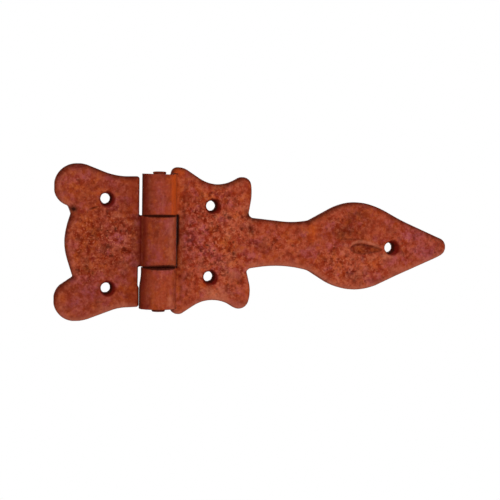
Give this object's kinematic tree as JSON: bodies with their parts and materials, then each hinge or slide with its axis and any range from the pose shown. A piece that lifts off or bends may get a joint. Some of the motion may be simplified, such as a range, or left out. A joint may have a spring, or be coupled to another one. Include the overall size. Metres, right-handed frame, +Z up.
{
  "type": "strap hinge",
  "caption": "Door hinge with a scalloped frame leaf and a long strap that ends in a pointed spear, joined by a pin through interleaved knuckles.",
  "frame": {"origin": "midway between the frame leaf's two screw holes, in the plane of its back", "axes": "+Z runs up the pin, +X runs from the frame leaf along the strap to the point of the spear, and -Y is the front. The backs of both leaves lie on Y = 0 in the rest pose."},
  "size_m": [0.1893, 0.016, 0.073],
  "materials": {
    "frame_leaf_iron": "rusted",
    "strap_leaf_iron": "rusted",
    "pin_iron": "rusted"
  },
  "bodies": {
    "frame": {"frame_leaf": "frame_leaf_iron"},
    "strap": {"strap_leaf": "strap_leaf_iron", "hinge_pin": "pin_iron"}
  },
  "joints": [
    {"name": "leaf_swing", "type": "hinge", "parent": "frame", "child": "strap", "pos_m": [0.0244, -0.00796, 0.0012], "axis": [0, 0, -1], "range_deg": [-95, 185]}
  ]
}
